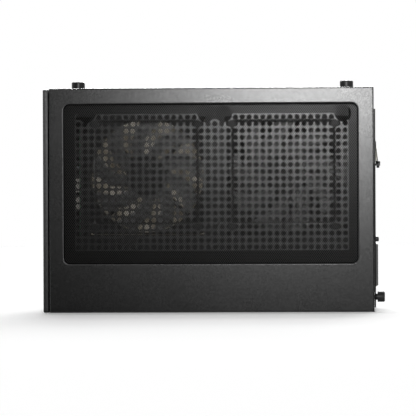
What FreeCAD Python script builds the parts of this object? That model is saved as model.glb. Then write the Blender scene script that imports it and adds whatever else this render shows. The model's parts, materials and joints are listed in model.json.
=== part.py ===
import FreeCAD, Part
import math
import os

Vector = FreeCAD.Vector
along_x = Vector(1, 0, 0)
along_y = Vector(0, 1, 0)
along_z = Vector(0, 0, 1)

# Body: front to rear (X), across (Y) and floor to top (Z)
body_length = 331.2
body_width = 236.0
body_height = 229.0

# Sheet metal
chassis_sheet = 1.2
panel_sheet = 1.5
cover_sheet = 1.5
back_plate_sheet = 1.5
wall_lip = 4.2           # folded ends of the side walls
pan_lip = 12.0           # upturned edges of the base pan
lip_setback = 4.0        # folds stop short of each other at the corners
seat_gap = 0.1           # between a part that comes off and its seat
thread_clearance = 0.05  # around fixed screws and threaded shanks

# Side panels: shallow folded pans with a rounded window
panel_depth = 9.5
panel_gap = 0.5          # from a panel's folded edge to the chassis
floor_gap = 0.4          # panels and bezel hang just clear of the table
panel_bend = 1.2
window_front_margin = 14.7
window_rear_margin = 16.2
window_top_margin = 16.0
window_bottom_margin = 49.7
window_radius = 6.6
window_edge_land = 0.3   # left square below the window's rounded edge

# Dust filters behind the windows
mesh_thickness = 0.6
mesh_overlap = 4.0       # filter behind the window's border
mesh_rib = 2.4
mesh_columns = 10
mesh_rows = 5
filter_ring_width = 3.0
filter_ring_depth = 2.5

# Push studs that hold the side panels, and their sockets
stud_radius = 2.5
stud_foot_radius = 2.8
stud_reach = 4.0         # past the inner face of the chassis wall
stud_clearance = 0.2
stud_end_inset = 22.0
stud_low_height = 25.0
socket_radius = 3.8
socket_length = 4.6
socket_top_gap = 0.5     # under the top frame

# Front bezel on four push pins
bezel_thickness = 4.3
bezel_gap = 2.0
bezel_top_drop = 1.0
bezel_rear_round = 1.2
bezel_front_chamfer = 0.8
bezel_corner_round = 0.4  # corner radius beyond the rounded rear edge
pin_shoulder_radius = 4.5
pin_inset = 24.0         # from the column of controls, towards the middle
pin_end_inset = 20.0     # from its top and bottom edges

# Controls and sockets, one above the other on the front
control_inset = 24.5     # from the chassis's side
reset_height = 167.0     # the others are placed from the reset button
power_rise = 20.0
power_radius = 7.0
reset_radius = 3.0
light_drop = 15.0
light_radius = 1.5
usb_drop = 19.0
usb_pitch = 20.0
usb_tall = 14.5
usb_wide = 7.5
usb_shell = 0.6
usb_pocket = 10.0
audio_drop = 17.0
audio_pitch = 12.0
audio_radius = 3.5
audio_bore_radius = 1.8
audio_bore_depth = 14.0
button_travel = 1.2
button_clearance = 0.3
button_flange = 0.8
button_flange_margin = 1.2
socket_recess = 0.6      # sockets stand this far behind the bezel's face
wall_opening_margin = 1.0
port_board_setback = 14.0
port_board_sheet = 1.6
port_board_width = 17.0
port_board_margin = 10.0
port_bracket_sheet = 1.0
port_bracket_foot = 6.0
switch_width = 6.0
switch_depth = 4.0
switch_plunger_radius = 1.5

# Top cover held by four knobs
knob_radius = 6.8
knob_height = 7.7
knob_edge = 1.3
knob_shank_radius = 2.0
knob_end_inset = 27.7
knob_side_inset = 21.5
knob_hole_clearance = 0.3
bush_radius = 4.5
bush_length = 6.0
top_rim_ends = 45.0
top_rim_sides = 28.5
top_rim_radius = 8.0
cover_lip_drop = 8.0
cover_lip_clearance = 1.0

# Two fans on the near wall, with slots for their screws
fan_size = 120.0
fan_depth = 25.0
fan_corner_radius = 8.0
fan_flange = 4.0
fan_rim = 2.0            # duct to the edge of the frame
fan_ring_wall = 1.8
fan_hole_spacing = 105.0
fan_hole_radius = 2.15
fan_boss_radius = 4.8
fan_pitch = 140.0
fan_shift = 3.5          # fan pair from the middle of the wall, to the rear
fan_drop = 89.0          # below the top
fan_motor_radius = 21.5
fan_motor_plate = 3.0
fan_strut_width = 4.0
fan_shaft_radius = 1.5
fan_shaft_clearance = 0.05
fan_screw_head_radius = 3.8
fan_screw_head = 2.4
fan_screw_radius = 2.05
fan_screw_length = 9.0
fan_slot_half_width = 2.3
fan_slot_spare = 0.5     # slot's straight run beyond the outermost screw
corner_cut_radius = 8.5  # round cut-outs in the wall at the fans' corners
corner_cut_side = 0.8    # beyond the fan's side
corner_cut_rise = 2.5    # above and below the fan
hub_radius = 21.0
hub_gap = 0.6            # hub to the motor plate
hub_setback = 1.5        # hub behind the fan's front face
hub_edge = 2.0
blade_count = 9
blade_tip_gap = 1.2
blade_thickness = 1.6
blade_sweep = 34.0
blade_root_chord = 17.0
blade_root_pitch = 52.0
blade_tip_chord = 25.0
blade_tip_pitch = 33.0

# Ventilation of the near wall and opening of the far wall
vent_pitch = 14.0
vent_radius = 5.2
vent_web = 1.5
far_opening_end_margin = 25.6  # from the front; closed behind the rear fan
far_opening_length = 140.0
far_opening_bottom = 60.0
far_opening_top_margin = 25.0
far_opening_radius = 8.0

# Drive plate in the front bay, for two small drives side by side
drive_plate_length = 100.0
drive_plate_width = 160.0
drive_plate_height = 14.0
drive_plate_gap = 3.0    # to the tray
drive_plate_foot = 9.0
drive_hole_length = 76.6
drive_hole_width = 61.7
drive_hole_radius = 1.75
drive_pitch = 78.0

# Slide-out board tray with the back plate
tray_length = 190.0
tray_side_gap = 1.0      # to the rear frame's opening
tray_height = 20.2
tray_lip = 8.0
tray_cutout = 96.0
rail_gap = 0.3
rail_inset = 10.5        # from the tray's side
rail_foot = 12.0
rail_flange = 8.0
standoff_height = 6.35
standoff_radius = 3.0
standoff_hole_radius = 1.45
board_rear_gap = 2.0     # board edge to the back plate
board_side_gap = 3.0     # board edge to the near side of the tray
board_hole_rear = 10.16
board_hole_rear_slots = 33.02
board_hole_front = 165.1
board_hole_near = 6.35
board_hole_far = 163.83
plate_side_margin = 0.5
plate_bottom = 4.5
plate_top_margin = 22.0
frame_side_gap = 0.3     # folded wall ends to the rear frame's opening
frame_opening_drop = 0.5  # below the tray
frame_opening_top_margin = 26.0

# Back plate features
io_width = 158.75
io_height = 44.45
io_rise = 4.2            # above the tray
io_side_gap = 2.2        # from the near side of the tray
io_proud = 2.3
io_slope = 1.4
io_sheet = 0.6
io_rim = 0.8
io_clearance = 0.2
slot_side_gap = 0.5      # last slot cover to the rear frame's opening
slot_pitch = 20.32
slot_opening_width = 13.0
slot_opening_lap = 5.0   # cover beyond each end of its opening
slot_cover_width = 18.4
slot_cover_rise = 9.6    # above the tray
slot_cover_sheet = 0.9
slot_ledge_rise = 132.4  # above the tray
slot_ledge_reach = 5.1
slot_ledge_sheet = 1.0
slot_slit = 0.2
slot_screw_offset = 2.7
slot_screw_radius = 1.5
slot_screw_head_radius = 2.4
slot_screw_head = 2.6
slot_screw_length = 4.0
hood_gap = 4.0           # above the slot ledge
hood_slope_height = 14.6
hood_flange = 6.0
hood_reach = 2.8
hood_sheet = 0.8
psu_offset = -9.5
psu_drop = 42.0          # below the back plate's top
psu_hole_width = 113.0
psu_hole_height = 51.5
psu_hole_radius = 2.0
psu_opening_width = 104.0
psu_opening_height = 58.0
psu_opening_radius = 4.0
rear_vent_count = 11
rear_vent_pitch = 12.0
rear_vent_half_width = 2.5
rear_vent_margin = 18.5  # to the connector and power supply openings
rear_vent_middle = -20.0

# Thumbscrews and small screws of the back plate
thumb_side_inset = 6.5   # from the side of the rear frame's opening
thumb_drop = 4.4         # below that opening
thumb_head_radius = 5.25
thumb_head_length = 7.5
thumb_head_chamfer = 0.8
thumb_neck_radius = 3.2
thumb_neck_length = 1.6
thumb_shank_radius = 1.7
thumb_shank_length = 6.0
plate_screw_inset = 2.8  # from the side of the back plate
plate_screw_rise = 4.25  # above the connector opening
plate_screw_radius = 1.5
plate_screw_head_radius = 2.5
plate_screw_head = 3.2
plate_screw_length = 6.0

# Places worked out from the sizes above
rear_reach = seat_gap + back_plate_sheet + thumb_neck_length + thumb_head_length
overall_length = bezel_thickness + bezel_gap + body_length + rear_reach
bezel_front = -overall_length / 2
bezel_back = bezel_front + bezel_thickness
body_front = bezel_back + bezel_gap
body_rear = body_front + body_length
body_middle = (body_front + body_rear) / 2
half_width = body_width / 2
chassis_half = half_width - panel_depth
chassis_top = body_height - cover_sheet
wall_top = chassis_top - chassis_sheet
wall_front = body_front + chassis_sheet
wall_rear = body_rear - chassis_sheet
wall_inside = chassis_half - chassis_sheet
panel_inside = half_width - panel_sheet
window_front = body_front + window_front_margin
window_rear = body_rear - window_rear_margin
window_bottom = window_bottom_margin
window_top = body_height - window_top_margin
plate_inner = body_rear + seat_gap
plate_outer = plate_inner + back_plate_sheet
plate_half_width = chassis_half - plate_side_margin
plate_top = body_height - plate_top_margin
frame_opening_half = wall_inside - wall_lip - frame_side_gap
frame_opening_bottom = tray_height - frame_opening_drop
frame_opening_top = body_height - frame_opening_top_margin
tray_half_width = frame_opening_half - tray_side_gap
board_rear = plate_inner - board_rear_gap
tray_front = plate_inner - tray_length
tray_top = tray_height + chassis_sheet
rail_top = tray_height - rail_gap
rail_offset = tray_half_width - rail_inset
drive_plate_rear = tray_front - drive_plate_gap
board_side = board_side_gap - tray_half_width
io_side = io_side_gap - tray_half_width
io_bottom = tray_top + io_rise
io_top = io_bottom + io_height
slot_room = frame_opening_half - slot_side_gap - (io_side + io_width + io_rim)
slot_count = int((slot_room - slot_cover_width) / slot_pitch) + 1
slot_last = frame_opening_half - slot_side_gap - slot_cover_width / 2
slot_places = [slot_last - number * slot_pitch for number in reversed(range(slot_count))]
slot_cover_bottom = tray_top + slot_cover_rise
slot_ledge_top = tray_top + slot_ledge_rise
slot_opening_bottom = slot_cover_bottom + slot_opening_lap
slot_opening_top = slot_ledge_top - slot_opening_lap
hood_bottom = slot_ledge_top + hood_gap
hood_bend = hood_bottom + hood_slope_height
hood_top = hood_bend + hood_flange
psu_height = plate_top - psu_drop
rear_vent_low = io_top + rear_vent_margin
rear_vent_high = psu_height - psu_opening_height / 2 - rear_vent_margin
control_column = chassis_half - control_inset
power_height = reset_height + power_rise
light_height = reset_height - light_drop
usb_heights = [light_height - usb_drop, light_height - usb_drop - usb_pitch]
audio_heights = [usb_heights[-1] - audio_drop, usb_heights[-1] - audio_drop - audio_pitch]
port_board_front = wall_front + port_board_setback
fan_height = body_height - fan_drop
fan_duct_radius = fan_size / 2 - fan_rim
fan_places = [body_middle + fan_shift - fan_pitch / 2, body_middle + fan_shift + fan_pitch / 2]
fan_front = -wall_inside
fan_rear = fan_front + fan_depth
far_opening_front = body_front + far_opening_end_margin
vent_field_width = fan_hole_spacing - 2 * (fan_slot_half_width + vent_web + vent_radius)
vent_columns = int(vent_field_width / vent_pitch) + 1
vent_rows = int((fan_size - 2 * vent_radius) / vent_pitch) + 1
stud_top_height = wall_top - socket_radius - socket_top_gap
stud_places = [
    (x, z)
    for x in (body_front + stud_end_inset, body_middle, body_rear - stud_end_inset)
    for z in (stud_low_height, stud_top_height)
]
knob_places = [
    (x, y)
    for x in (body_front + knob_end_inset, body_rear - knob_end_inset)
    for y in (knob_side_inset - chassis_half, chassis_half - knob_side_inset)
]
pin_places = [
    (y, z)
    for y in (pin_inset - control_column, control_column - pin_inset)
    for z in (floor_gap + pin_end_inset, body_height - bezel_top_drop - pin_end_inset)
]
thumb_places = [(thumb_side_inset - frame_opening_half, frame_opening_bottom - thumb_drop)]
plate_screw_places = [
    (y, io_top + plate_screw_rise)
    for y in (plate_screw_inset - plate_half_width, plate_half_width - plate_screw_inset)
]


def block(x_range, y_range, z_range):
    lows = [min(pair) for pair in (x_range, y_range, z_range)]
    highs = [max(pair) for pair in (x_range, y_range, z_range)]
    spans = [high - low for low, high in zip(lows, highs)]
    return Part.makeBox(spans[0], spans[1], spans[2], Vector(lows[0], lows[1], lows[2]))


def middle_block(x_range, y_middle, width, z_middle, height):
    y_range = (y_middle - width / 2, y_middle + width / 2)
    z_range = (z_middle - height / 2, z_middle + height / 2)
    return block(x_range, y_range, z_range)


def edges_along(shape, direction):
    chosen = []
    for edge in shape.Edges:
        run = edge.Vertexes[-1].Point - edge.Vertexes[0].Point
        if abs(run.normalize().dot(direction)) > 0.999:
            chosen.append(edge)
    return chosen


def edges_at(shape, axis, place):
    chosen = []
    for edge in shape.Edges:
        if all(abs(vertex.Point.dot(axis) - place) < 1e-6 for vertex in edge.Vertexes):
            chosen.append(edge)
    return chosen


def rounded_block(x_range, y_range, z_range, direction, radius):
    solid = block(x_range, y_range, z_range)
    return solid.makeFillet(radius, edges_along(solid, direction))


def rod_x(radius, x_range, y, z):
    return Part.makeCylinder(radius, x_range[1] - x_range[0], Vector(x_range[0], y, z), along_x)


def rod_y(radius, x, y_range, z):
    low, high = sorted(y_range)
    return Part.makeCylinder(radius, high - low, Vector(x, low, z), along_y)


def rod_z(radius, x, y, z_range):
    return Part.makeCylinder(radius, z_range[1] - z_range[0], Vector(x, y, z_range[0]), along_z)


def prism(points, run):
    return Part.Face(Part.makePolygon(points + points[:1])).extrude(run)


def joined(solids):
    return solids[0].multiFuse(solids[1:]).removeSplitter()


# Chassis

def base_pan():
    lip_front = wall_front + lip_setback
    lip_rear = wall_rear - lip_setback
    end_half = wall_inside - wall_lip - lip_setback
    solids = [block((wall_front, wall_rear), (-wall_inside, wall_inside), (0, chassis_sheet))]
    for side in (-1, 1):
        lip_y = (side * (wall_inside - chassis_sheet), side * wall_inside)
        solids.append(block((lip_front, lip_rear), lip_y, (0, pan_lip)))
    for lip_x in ((wall_front, wall_front + chassis_sheet), (wall_rear - chassis_sheet, wall_rear)):
        solids.append(block(lip_x, (-end_half, end_half), (0, pan_lip)))
    return joined(solids)


def side_wall(side):
    outer = side * chassis_half
    inner = side * wall_inside
    lip_edge = side * (wall_inside - wall_lip)
    solids = [block((wall_front, wall_rear), (inner, outer), (0, wall_top))]
    for lip_x in ((wall_front, wall_front + chassis_sheet), (wall_rear - chassis_sheet, wall_rear)):
        solids.append(block(lip_x, (lip_edge, inner), (chassis_sheet, wall_top)))
    holes = [rod_y(stud_radius + stud_clearance, x, (inner, outer), z) for x, z in stud_places]
    rear_lip = (wall_rear - chassis_sheet, wall_rear)
    for y, z in plate_screw_places:
        holes.append(rod_x(plate_screw_radius + thread_clearance, rear_lip, y, z))
    return joined(solids).cut(holes)


def fan_wall():
    through = Vector(0, chassis_sheet, 0)
    cuts = []
    for fan_x in fan_places:
        for column in range(vent_columns):
            for row in range(vent_rows):
                x = fan_x + (column - (vent_columns - 1) / 2) * vent_pitch
                z = fan_height + (row - (vent_rows - 1) / 2) * vent_pitch
                corners = []
                for corner in range(6):
                    turn = math.radians(60 * corner)
                    corner_x = x + vent_radius * math.cos(turn)
                    corners.append(Vector(corner_x, -chassis_half, z + vent_radius * math.sin(turn)))
                cuts.append(prism(corners, through))
        slot_reach = fan_hole_spacing / 2 + fan_slot_spare
        for side in (-1, 1):
            slot_x = fan_x + side * fan_hole_spacing / 2
            depth = (-chassis_half, -wall_inside)
            low = fan_height - slot_reach
            high = fan_height + slot_reach
            cuts.append(joined([
                block((slot_x - fan_slot_half_width, slot_x + fan_slot_half_width), depth, (low, high)),
                rod_y(fan_slot_half_width, slot_x, depth, low),
                rod_y(fan_slot_half_width, slot_x, depth, high),
            ]))
            cut_x = fan_x + side * (fan_size / 2 + corner_cut_side)
            cut_rise = fan_size / 2 + corner_cut_rise
            for cut_z in (fan_height - cut_rise, fan_height + cut_rise):
                cuts.append(rod_y(corner_cut_radius, cut_x, depth, cut_z))
    return side_wall(-1).cut(cuts)


def far_wall():
    opening = rounded_block(
        (far_opening_front, far_opening_front + far_opening_length),
        (wall_inside, chassis_half),
        (far_opening_bottom, body_height - far_opening_top_margin),
        along_y,
        far_opening_radius,
    )
    return side_wall(1).cut(opening)


def control_openings(x_range, margin):
    cuts = [
        rod_x(power_radius + margin, x_range, control_column, power_height),
        rod_x(reset_radius + margin, x_range, control_column, reset_height),
    ]
    for z in usb_heights:
        cuts.append(middle_block(x_range, control_column, usb_wide + 2 * margin, z, usb_tall + 2 * margin))
    for z in audio_heights:
        cuts.append(rod_x(audio_radius + margin, x_range, control_column, z))
    return cuts


def front_wall():
    depth = (body_front, wall_front)
    wall = block(depth, (-chassis_half, chassis_half), (0, wall_top))
    cuts = control_openings(depth, button_flange_margin + wall_opening_margin)
    cuts.append(rod_x(light_radius + wall_opening_margin, depth, control_column, light_height))
    for y, z in pin_places:
        cuts.append(rod_x(stud_radius + stud_clearance, depth, y, z))
    return wall.cut(cuts)


def rear_frame():
    depth = (wall_rear, body_rear)
    frame = block(depth, (-chassis_half, chassis_half), (0, wall_top))
    opening_z = (frame_opening_bottom, frame_opening_top)
    cuts = [block(depth, (-frame_opening_half, frame_opening_half), opening_z)]
    for y, z in thumb_places:
        cuts.append(rod_x(thumb_shank_radius + thread_clearance, depth, y, z))
    for y, z in plate_screw_places:
        cuts.append(rod_x(plate_screw_radius + thread_clearance, depth, y, z))
    return frame.cut(cuts)


def top_frame():
    height = (wall_top, chassis_top)
    frame = block((body_front, body_rear), (-chassis_half, chassis_half), height)
    opening_half = chassis_half - top_rim_sides
    opening_x = (body_front + top_rim_ends, body_rear - top_rim_ends)
    cuts = [rounded_block(opening_x, (-opening_half, opening_half), height, along_z, top_rim_radius)]
    for x, y in knob_places:
        cuts.append(rod_z(knob_shank_radius + knob_hole_clearance, x, y, height))
    return frame.cut(cuts)


def tray_rails():
    rail_x = (tray_front, wall_rear - lip_setback)
    rails = []
    for side in (-1, 1):
        web = side * (rail_offset - chassis_sheet)
        foot_edge = side * (rail_offset - rail_foot)
        flange_edge = side * (rail_offset + rail_flange)
        rail = joined([
            block(rail_x, (foot_edge, side * rail_offset), (chassis_sheet, 2 * chassis_sheet)),
            block(rail_x, (web, side * rail_offset), (chassis_sheet, rail_top)),
            block(rail_x, (web, flange_edge), (rail_top - chassis_sheet, rail_top)),
        ])
        rails.append(rail)
    return Part.makeCompound(rails)


def panel_sockets():
    sockets = []
    bore = stud_radius + stud_clearance
    for side in (-1, 1):
        depth = (side * wall_inside, side * (wall_inside - socket_length))
        for x, z in stud_places:
            sockets.append(rod_y(socket_radius, x, depth, z).cut(rod_y(bore, x, depth, z)))
    return Part.makeCompound(sockets)


def bezel_sockets():
    depth = (wall_front, wall_front + socket_length)
    bore = stud_radius + stud_clearance
    sockets = [rod_x(socket_radius, depth, y, z).cut(rod_x(bore, depth, y, z)) for y, z in pin_places]
    return Part.makeCompound(sockets)


def cover_bushes():
    height = (wall_top - bush_length, wall_top)
    bore = knob_shank_radius + thread_clearance
    bushes = [rod_z(bush_radius, x, y, height).cut(rod_z(bore, x, y, height)) for x, y in knob_places]
    return Part.makeCompound(bushes)


def drive_plate():
    plate_x = (drive_plate_rear - drive_plate_length, drive_plate_rear)
    half = drive_plate_width / 2
    top = drive_plate_height
    solids = [block(plate_x, (-half, half), (top - chassis_sheet, top))]
    for side in (-1, 1):
        leg = (side * (half - chassis_sheet), side * half)
        foot = (side * (half - chassis_sheet), side * (half + drive_plate_foot))
        solids.append(block(plate_x, leg, (chassis_sheet, top)))
        solids.append(block(plate_x, foot, (chassis_sheet, 2 * chassis_sheet)))
    middle_x = sum(plate_x) / 2
    holes = []
    for drive_y in (-drive_pitch / 2, drive_pitch / 2):
        for x in (middle_x - drive_hole_length / 2, middle_x + drive_hole_length / 2):
            for y in (drive_y - drive_hole_width / 2, drive_y + drive_hole_width / 2):
                holes.append(rod_z(drive_hole_radius, x, y, (top - chassis_sheet, top)))
    return joined(solids).cut(holes)


# Fans

def fan_corners(fan_x):
    reach = fan_hole_spacing / 2
    return [(fan_x + i * reach, fan_height + j * reach) for i in (-1, 1) for j in (-1, 1)]


def fan_frame(fan_x):
    depth = (fan_front, fan_rear)
    half = fan_size / 2
    side_x = (fan_x - half, fan_x + half)
    side_z = (fan_height - half, fan_height + half)
    solids = [rod_y(fan_duct_radius + fan_ring_wall, fan_x, depth, fan_height)]
    for flange_y in ((fan_front, fan_front + fan_flange), (fan_rear - fan_flange, fan_rear)):
        solids.append(rounded_block(side_x, flange_y, side_z, along_y, fan_corner_radius))
    for x, z in fan_corners(fan_x):
        solids.append(rod_y(fan_boss_radius, x, depth, z))
    shell = joined(solids)
    holes = [rod_y(fan_hole_radius, x, depth, z) for x, z in fan_corners(fan_x)]
    shell = shell.cut([rod_y(fan_duct_radius, fan_x, depth, fan_height)] + holes)
    motor_depth = (fan_rear - fan_motor_plate, fan_rear)
    motor_plate = rod_y(fan_motor_radius, fan_x, motor_depth, fan_height)
    strut_reach = fan_duct_radius + fan_ring_wall / 2
    strut_half = fan_strut_width / 2
    struts = []
    for turn in (45, 135):
        strut_x = (fan_x - strut_reach, fan_x + strut_reach)
        strut = block(strut_x, motor_depth, (fan_height - strut_half, fan_height + strut_half))
        strut.rotate(Vector(fan_x, 0, fan_height), along_y, turn)
        struts.append(strut)
    shaft = rod_y(fan_shaft_radius, fan_x, (fan_front + fan_depth / 2, fan_rear), fan_height)
    return joined([shell, motor_plate, shaft] + struts)


def blade_section(fan_x, share, turn, middle_y):
    root = hub_radius - blade_thickness
    tip = fan_duct_radius - blade_tip_gap
    radius = root + share * (tip - root)
    chord = blade_root_chord + share * (blade_tip_chord - blade_root_chord)
    pitch = math.radians(blade_root_pitch + share * (blade_tip_pitch - blade_root_pitch))
    outward = Vector(math.cos(turn), 0, math.sin(turn))
    around = Vector(-math.sin(turn), 0, math.cos(turn))
    chord_run = around * math.cos(pitch) + along_y * math.sin(pitch)
    thick_run = along_y * math.cos(pitch) - around * math.sin(pitch)
    middle = Vector(fan_x, middle_y, fan_height) + outward * radius
    corners = []
    for chord_side, thick_side in ((-1, -1), (1, -1), (1, 1), (-1, 1)):
        chord_step = chord_run * (chord_side * chord / 2)
        corners.append(middle + chord_step + thick_run * (thick_side * blade_thickness / 2))
    return Part.makePolygon(corners + corners[:1])


def fan_rotor(fan_x):
    hub_front = fan_front + hub_setback
    hub_rear = fan_rear - fan_motor_plate - hub_gap
    hub = rod_y(hub_radius, fan_x, (hub_front, hub_rear), fan_height)
    hub = hub.makeFillet(hub_edge, edges_at(hub, along_y, hub_front))
    blades = []
    for number in range(blade_count):
        start = 2 * math.pi * number / blade_count
        sections = []
        for share in (0.0, 0.5, 1.0):
            turn = start - math.radians(blade_sweep * share)
            sections.append(blade_section(fan_x, share, turn, (hub_front + hub_rear) / 2))
        blades.append(Part.makeLoft(sections, True, True))
    bore_depth = (fan_front + fan_depth / 2 - hub_gap, hub_rear)
    bore = rod_y(fan_shaft_radius + fan_shaft_clearance, fan_x, bore_depth, fan_height)
    return joined([hub] + blades).cut(bore)


def fan_screws():
    screws = []
    for fan_x in fan_places:
        for x, z in fan_corners(fan_x):
            head = rod_y(fan_screw_head_radius, x, (-chassis_half - fan_screw_head, -chassis_half), z)
            shank = rod_y(fan_screw_radius, x, (-chassis_half, -chassis_half + fan_screw_length), z)
            screws.append(joined([head, shank]))
    return Part.makeCompound(screws)


# Side panels and their filters

def side_panel(side):
    outer_y = side * half_width
    inner_y = side * (chassis_half + panel_gap)
    shell = block((body_front, body_rear), (outer_y, inner_y), (floor_gap, body_height))
    bends = edges_at(shell, along_y, outer_y) + edges_along(shell, along_y)
    shell = shell.makeFillet(panel_bend, bends)
    hollow = block(
        (body_front + panel_sheet, body_rear - panel_sheet),
        (side * panel_inside, inner_y),
        (floor_gap + panel_sheet, body_height - panel_sheet),
    )
    window = rounded_block(
        (window_front, window_rear),
        (outer_y, side * panel_inside),
        (window_bottom, window_top),
        along_y,
        window_radius,
    )
    panel = shell.cut([hollow, window])
    rim = []
    for edge in edges_at(panel, along_y, outer_y):
        if window_bottom - seat_gap < edge.BoundBox.ZMin and edge.BoundBox.ZMax < window_top + seat_gap:
            rim.append(edge)
    return panel.makeFillet(panel_sheet - window_edge_land, rim)


def filter_outline(margin, y_range):
    return rounded_block(
        (window_front - margin, window_rear + margin),
        y_range,
        (window_bottom - margin, window_top + margin),
        along_y,
        window_radius + margin,
    )


def filter_mesh(side):
    face = side * panel_inside
    back = side * (panel_inside - mesh_thickness)
    sheet = filter_outline(mesh_overlap, (face, back))
    cell_x = (window_rear - window_front) / mesh_columns
    cell_z = (window_top - window_bottom) / mesh_rows
    reach_x = cell_x / 2 - mesh_rib / 2 * math.hypot(cell_x, cell_z) / cell_z
    reach_z = reach_x * cell_z / cell_x
    gaps = []
    for number in range(2 * mesh_columns - 1):
        for level in range(2 * mesh_rows - 1):
            if number % 2 == level % 2:
                x = window_front + (number + 1) * cell_x / 2
                z = window_bottom + (level + 1) * cell_z / 2
                corners = [
                    Vector(x - reach_x, face, z),
                    Vector(x, face, z - reach_z),
                    Vector(x + reach_x, face, z),
                    Vector(x, face, z + reach_z),
                ]
                gaps.append(prism(corners, Vector(0, back - face, 0)))
    return sheet.cut(gaps)


def filter_frame(side):
    face = side * (panel_inside - mesh_thickness)
    back = side * (panel_inside - mesh_thickness - filter_ring_depth)
    ring = filter_outline(mesh_overlap, (face, back))
    return ring.cut(filter_outline(mesh_overlap - filter_ring_width, (face, back)))


def panel_studs(side):
    foot_y = (side * panel_inside, side * (chassis_half + panel_gap))
    pin_y = (side * (chassis_half + panel_gap), side * (wall_inside - stud_reach))
    studs = []
    for x, z in stud_places:
        studs.append(joined([rod_y(stud_foot_radius, x, foot_y, z), rod_y(stud_radius, x, pin_y, z)]))
    return Part.makeCompound(studs)


# Front bezel, controls and sockets

def front_bezel():
    depth = (bezel_front, bezel_back)
    bezel = block(depth, (-half_width, half_width), (floor_gap, body_height - bezel_top_drop))
    corner_radius = max(bezel_front_chamfer, bezel_rear_round) + bezel_corner_round
    bezel = bezel.makeFillet(corner_radius, edges_along(bezel, along_x))
    bezel = bezel.makeFillet(bezel_rear_round, edges_at(bezel, along_x, bezel_back))
    bezel = bezel.makeChamfer(bezel_front_chamfer, edges_at(bezel, along_x, bezel_front))
    cuts = control_openings(depth, button_clearance)
    cuts.append(rod_x(light_radius + thread_clearance, depth, control_column, light_height))
    return bezel.cut(cuts)


def bezel_pins():
    pins = []
    for y, z in pin_places:
        shoulder = rod_x(pin_shoulder_radius, (bezel_back, body_front - seat_gap), y, z)
        shank = rod_x(stud_radius, (bezel_back, wall_front + stud_reach), y, z)
        pins.append(joined([shoulder, shank]))
    return Part.makeCompound(pins)


def light_pipe():
    flange_depth = (bezel_back, body_front - seat_gap)
    pipe = rod_x(light_radius, (bezel_front, body_front), control_column, light_height)
    flange = rod_x(light_radius + wall_opening_margin, flange_depth, control_column, light_height)
    return joined([pipe, flange])


def push_button(radius, z):
    plunger = port_board_front - switch_depth - button_travel
    flange_front = bezel_back + seat_gap
    cap = rod_x(radius, (bezel_front, flange_front + button_flange), control_column, z)
    cap = cap.makeFillet(bezel_front_chamfer, edges_at(cap, along_x, bezel_front))
    flange_depth = (flange_front, flange_front + button_flange)
    flange = rod_x(radius + button_flange_margin, flange_depth, control_column, z)
    stem = rod_x(radius / 2, (flange_front, plunger - button_travel - seat_gap), control_column, z)
    return joined([cap, flange, stem])


def button_switches():
    body_depth = (port_board_front - switch_depth, port_board_front)
    switches = []
    for z in (power_height, reset_height):
        body = middle_block(body_depth, control_column, switch_width, z, switch_width)
        plunger_depth = (body_depth[0] - button_travel, body_depth[0])
        plunger = rod_x(switch_plunger_radius, plunger_depth, control_column, z)
        switches.append(joined([body, plunger]))
    return Part.makeCompound(switches)


def status_light():
    return rod_x(light_radius, (body_front + seat_gap, port_board_front), control_column, light_height)


def usb_sockets():
    depth = (bezel_front + socket_recess, port_board_front)
    pocket = (depth[0], depth[0] + usb_pocket)
    sockets = []
    for z in usb_heights:
        shell = middle_block(depth, control_column, usb_wide, z, usb_tall)
        hollow = middle_block(pocket, control_column, usb_wide - 2 * usb_shell, z, usb_tall - 2 * usb_shell)
        tongue_y = (control_column, control_column + usb_wide / 4)
        tongue_z = (z - usb_tall / 2 + 2 * usb_shell, z + usb_tall / 2 - 2 * usb_shell)
        tongue = block((pocket[0] + usb_shell, pocket[1]), tongue_y, tongue_z)
        sockets.append(shell.cut(hollow).fuse(tongue).removeSplitter())
    return Part.makeCompound(sockets)


def audio_sockets():
    depth = (bezel_front + socket_recess, port_board_front)
    bore_depth = (depth[0], depth[0] + audio_bore_depth)
    sockets = []
    for z in audio_heights:
        barrel = rod_x(audio_radius, depth, control_column, z)
        sockets.append(barrel.cut(rod_x(audio_bore_radius, bore_depth, control_column, z)))
    return Part.makeCompound(sockets)


def port_board_span():
    return (min(audio_heights) - port_board_margin, power_height + port_board_margin)


def port_board():
    depth = (port_board_front, port_board_front + port_board_sheet)
    half = port_board_width / 2
    return block(depth, (control_column - half, control_column + half), port_board_span())


def port_bracket():
    web_front = port_board_front + port_board_sheet
    half = port_board_width / 2
    across = (control_column - half, control_column + half)
    low, high = port_board_span()
    solids = [block((web_front, web_front + port_bracket_sheet), across, (low, high))]
    for edge, outward in ((low, -1), (high, 1)):
        leg = (edge, edge + outward * port_bracket_sheet)
        foot = (edge, edge + outward * port_bracket_foot)
        solids.append(block((wall_front, web_front + port_bracket_sheet), across, leg))
        solids.append(block((wall_front, wall_front + port_bracket_sheet), across, foot))
    return joined(solids)


# Top cover

def top_cover():
    cover = block((body_front, body_rear), (-chassis_half, chassis_half), (chassis_top, body_height))
    lip_x = (
        body_front + top_rim_ends + top_rim_radius + cover_lip_clearance,
        body_rear - top_rim_ends - top_rim_radius - cover_lip_clearance,
    )
    lip_edge = chassis_half - top_rim_sides - cover_lip_clearance
    solids = [cover]
    for side in (-1, 1):
        lip_y = (side * lip_edge, side * (lip_edge - cover_sheet))
        solids.append(block(lip_x, lip_y, (chassis_top - cover_lip_drop, chassis_top)))
    holes = []
    for x, y in knob_places:
        holes.append(rod_z(knob_shank_radius + knob_hole_clearance, x, y, (chassis_top, body_height)))
    return joined(solids).cut(holes)


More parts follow.
